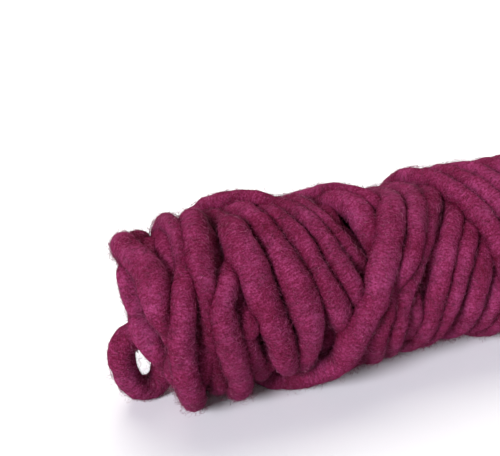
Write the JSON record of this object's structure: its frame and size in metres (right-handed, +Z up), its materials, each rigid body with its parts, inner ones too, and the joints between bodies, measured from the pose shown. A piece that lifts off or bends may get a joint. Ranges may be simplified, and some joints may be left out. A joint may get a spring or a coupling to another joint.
{
  "type": "wound skein of thick wool yarn",
  "caption": "Log-shaped skein of thick, softly felted single-ply wool yarn lying on its side, with crossing outer turns and a loop at one end.",
  "frame": {"origin": "on the floor, under the middle of the part's box", "axes": "+X along the log's axis, from the end with the loop to the plain end, and +Z up"},
  "size_m": [0.2278, 0.091, 0.0838],
  "materials": {
    "wool": "raspberry wool, soft, felted and fuzzy"
  },
  "bodies": {
    "root": {"wound_yarn": "wool"}
  },
  "joints": []
}
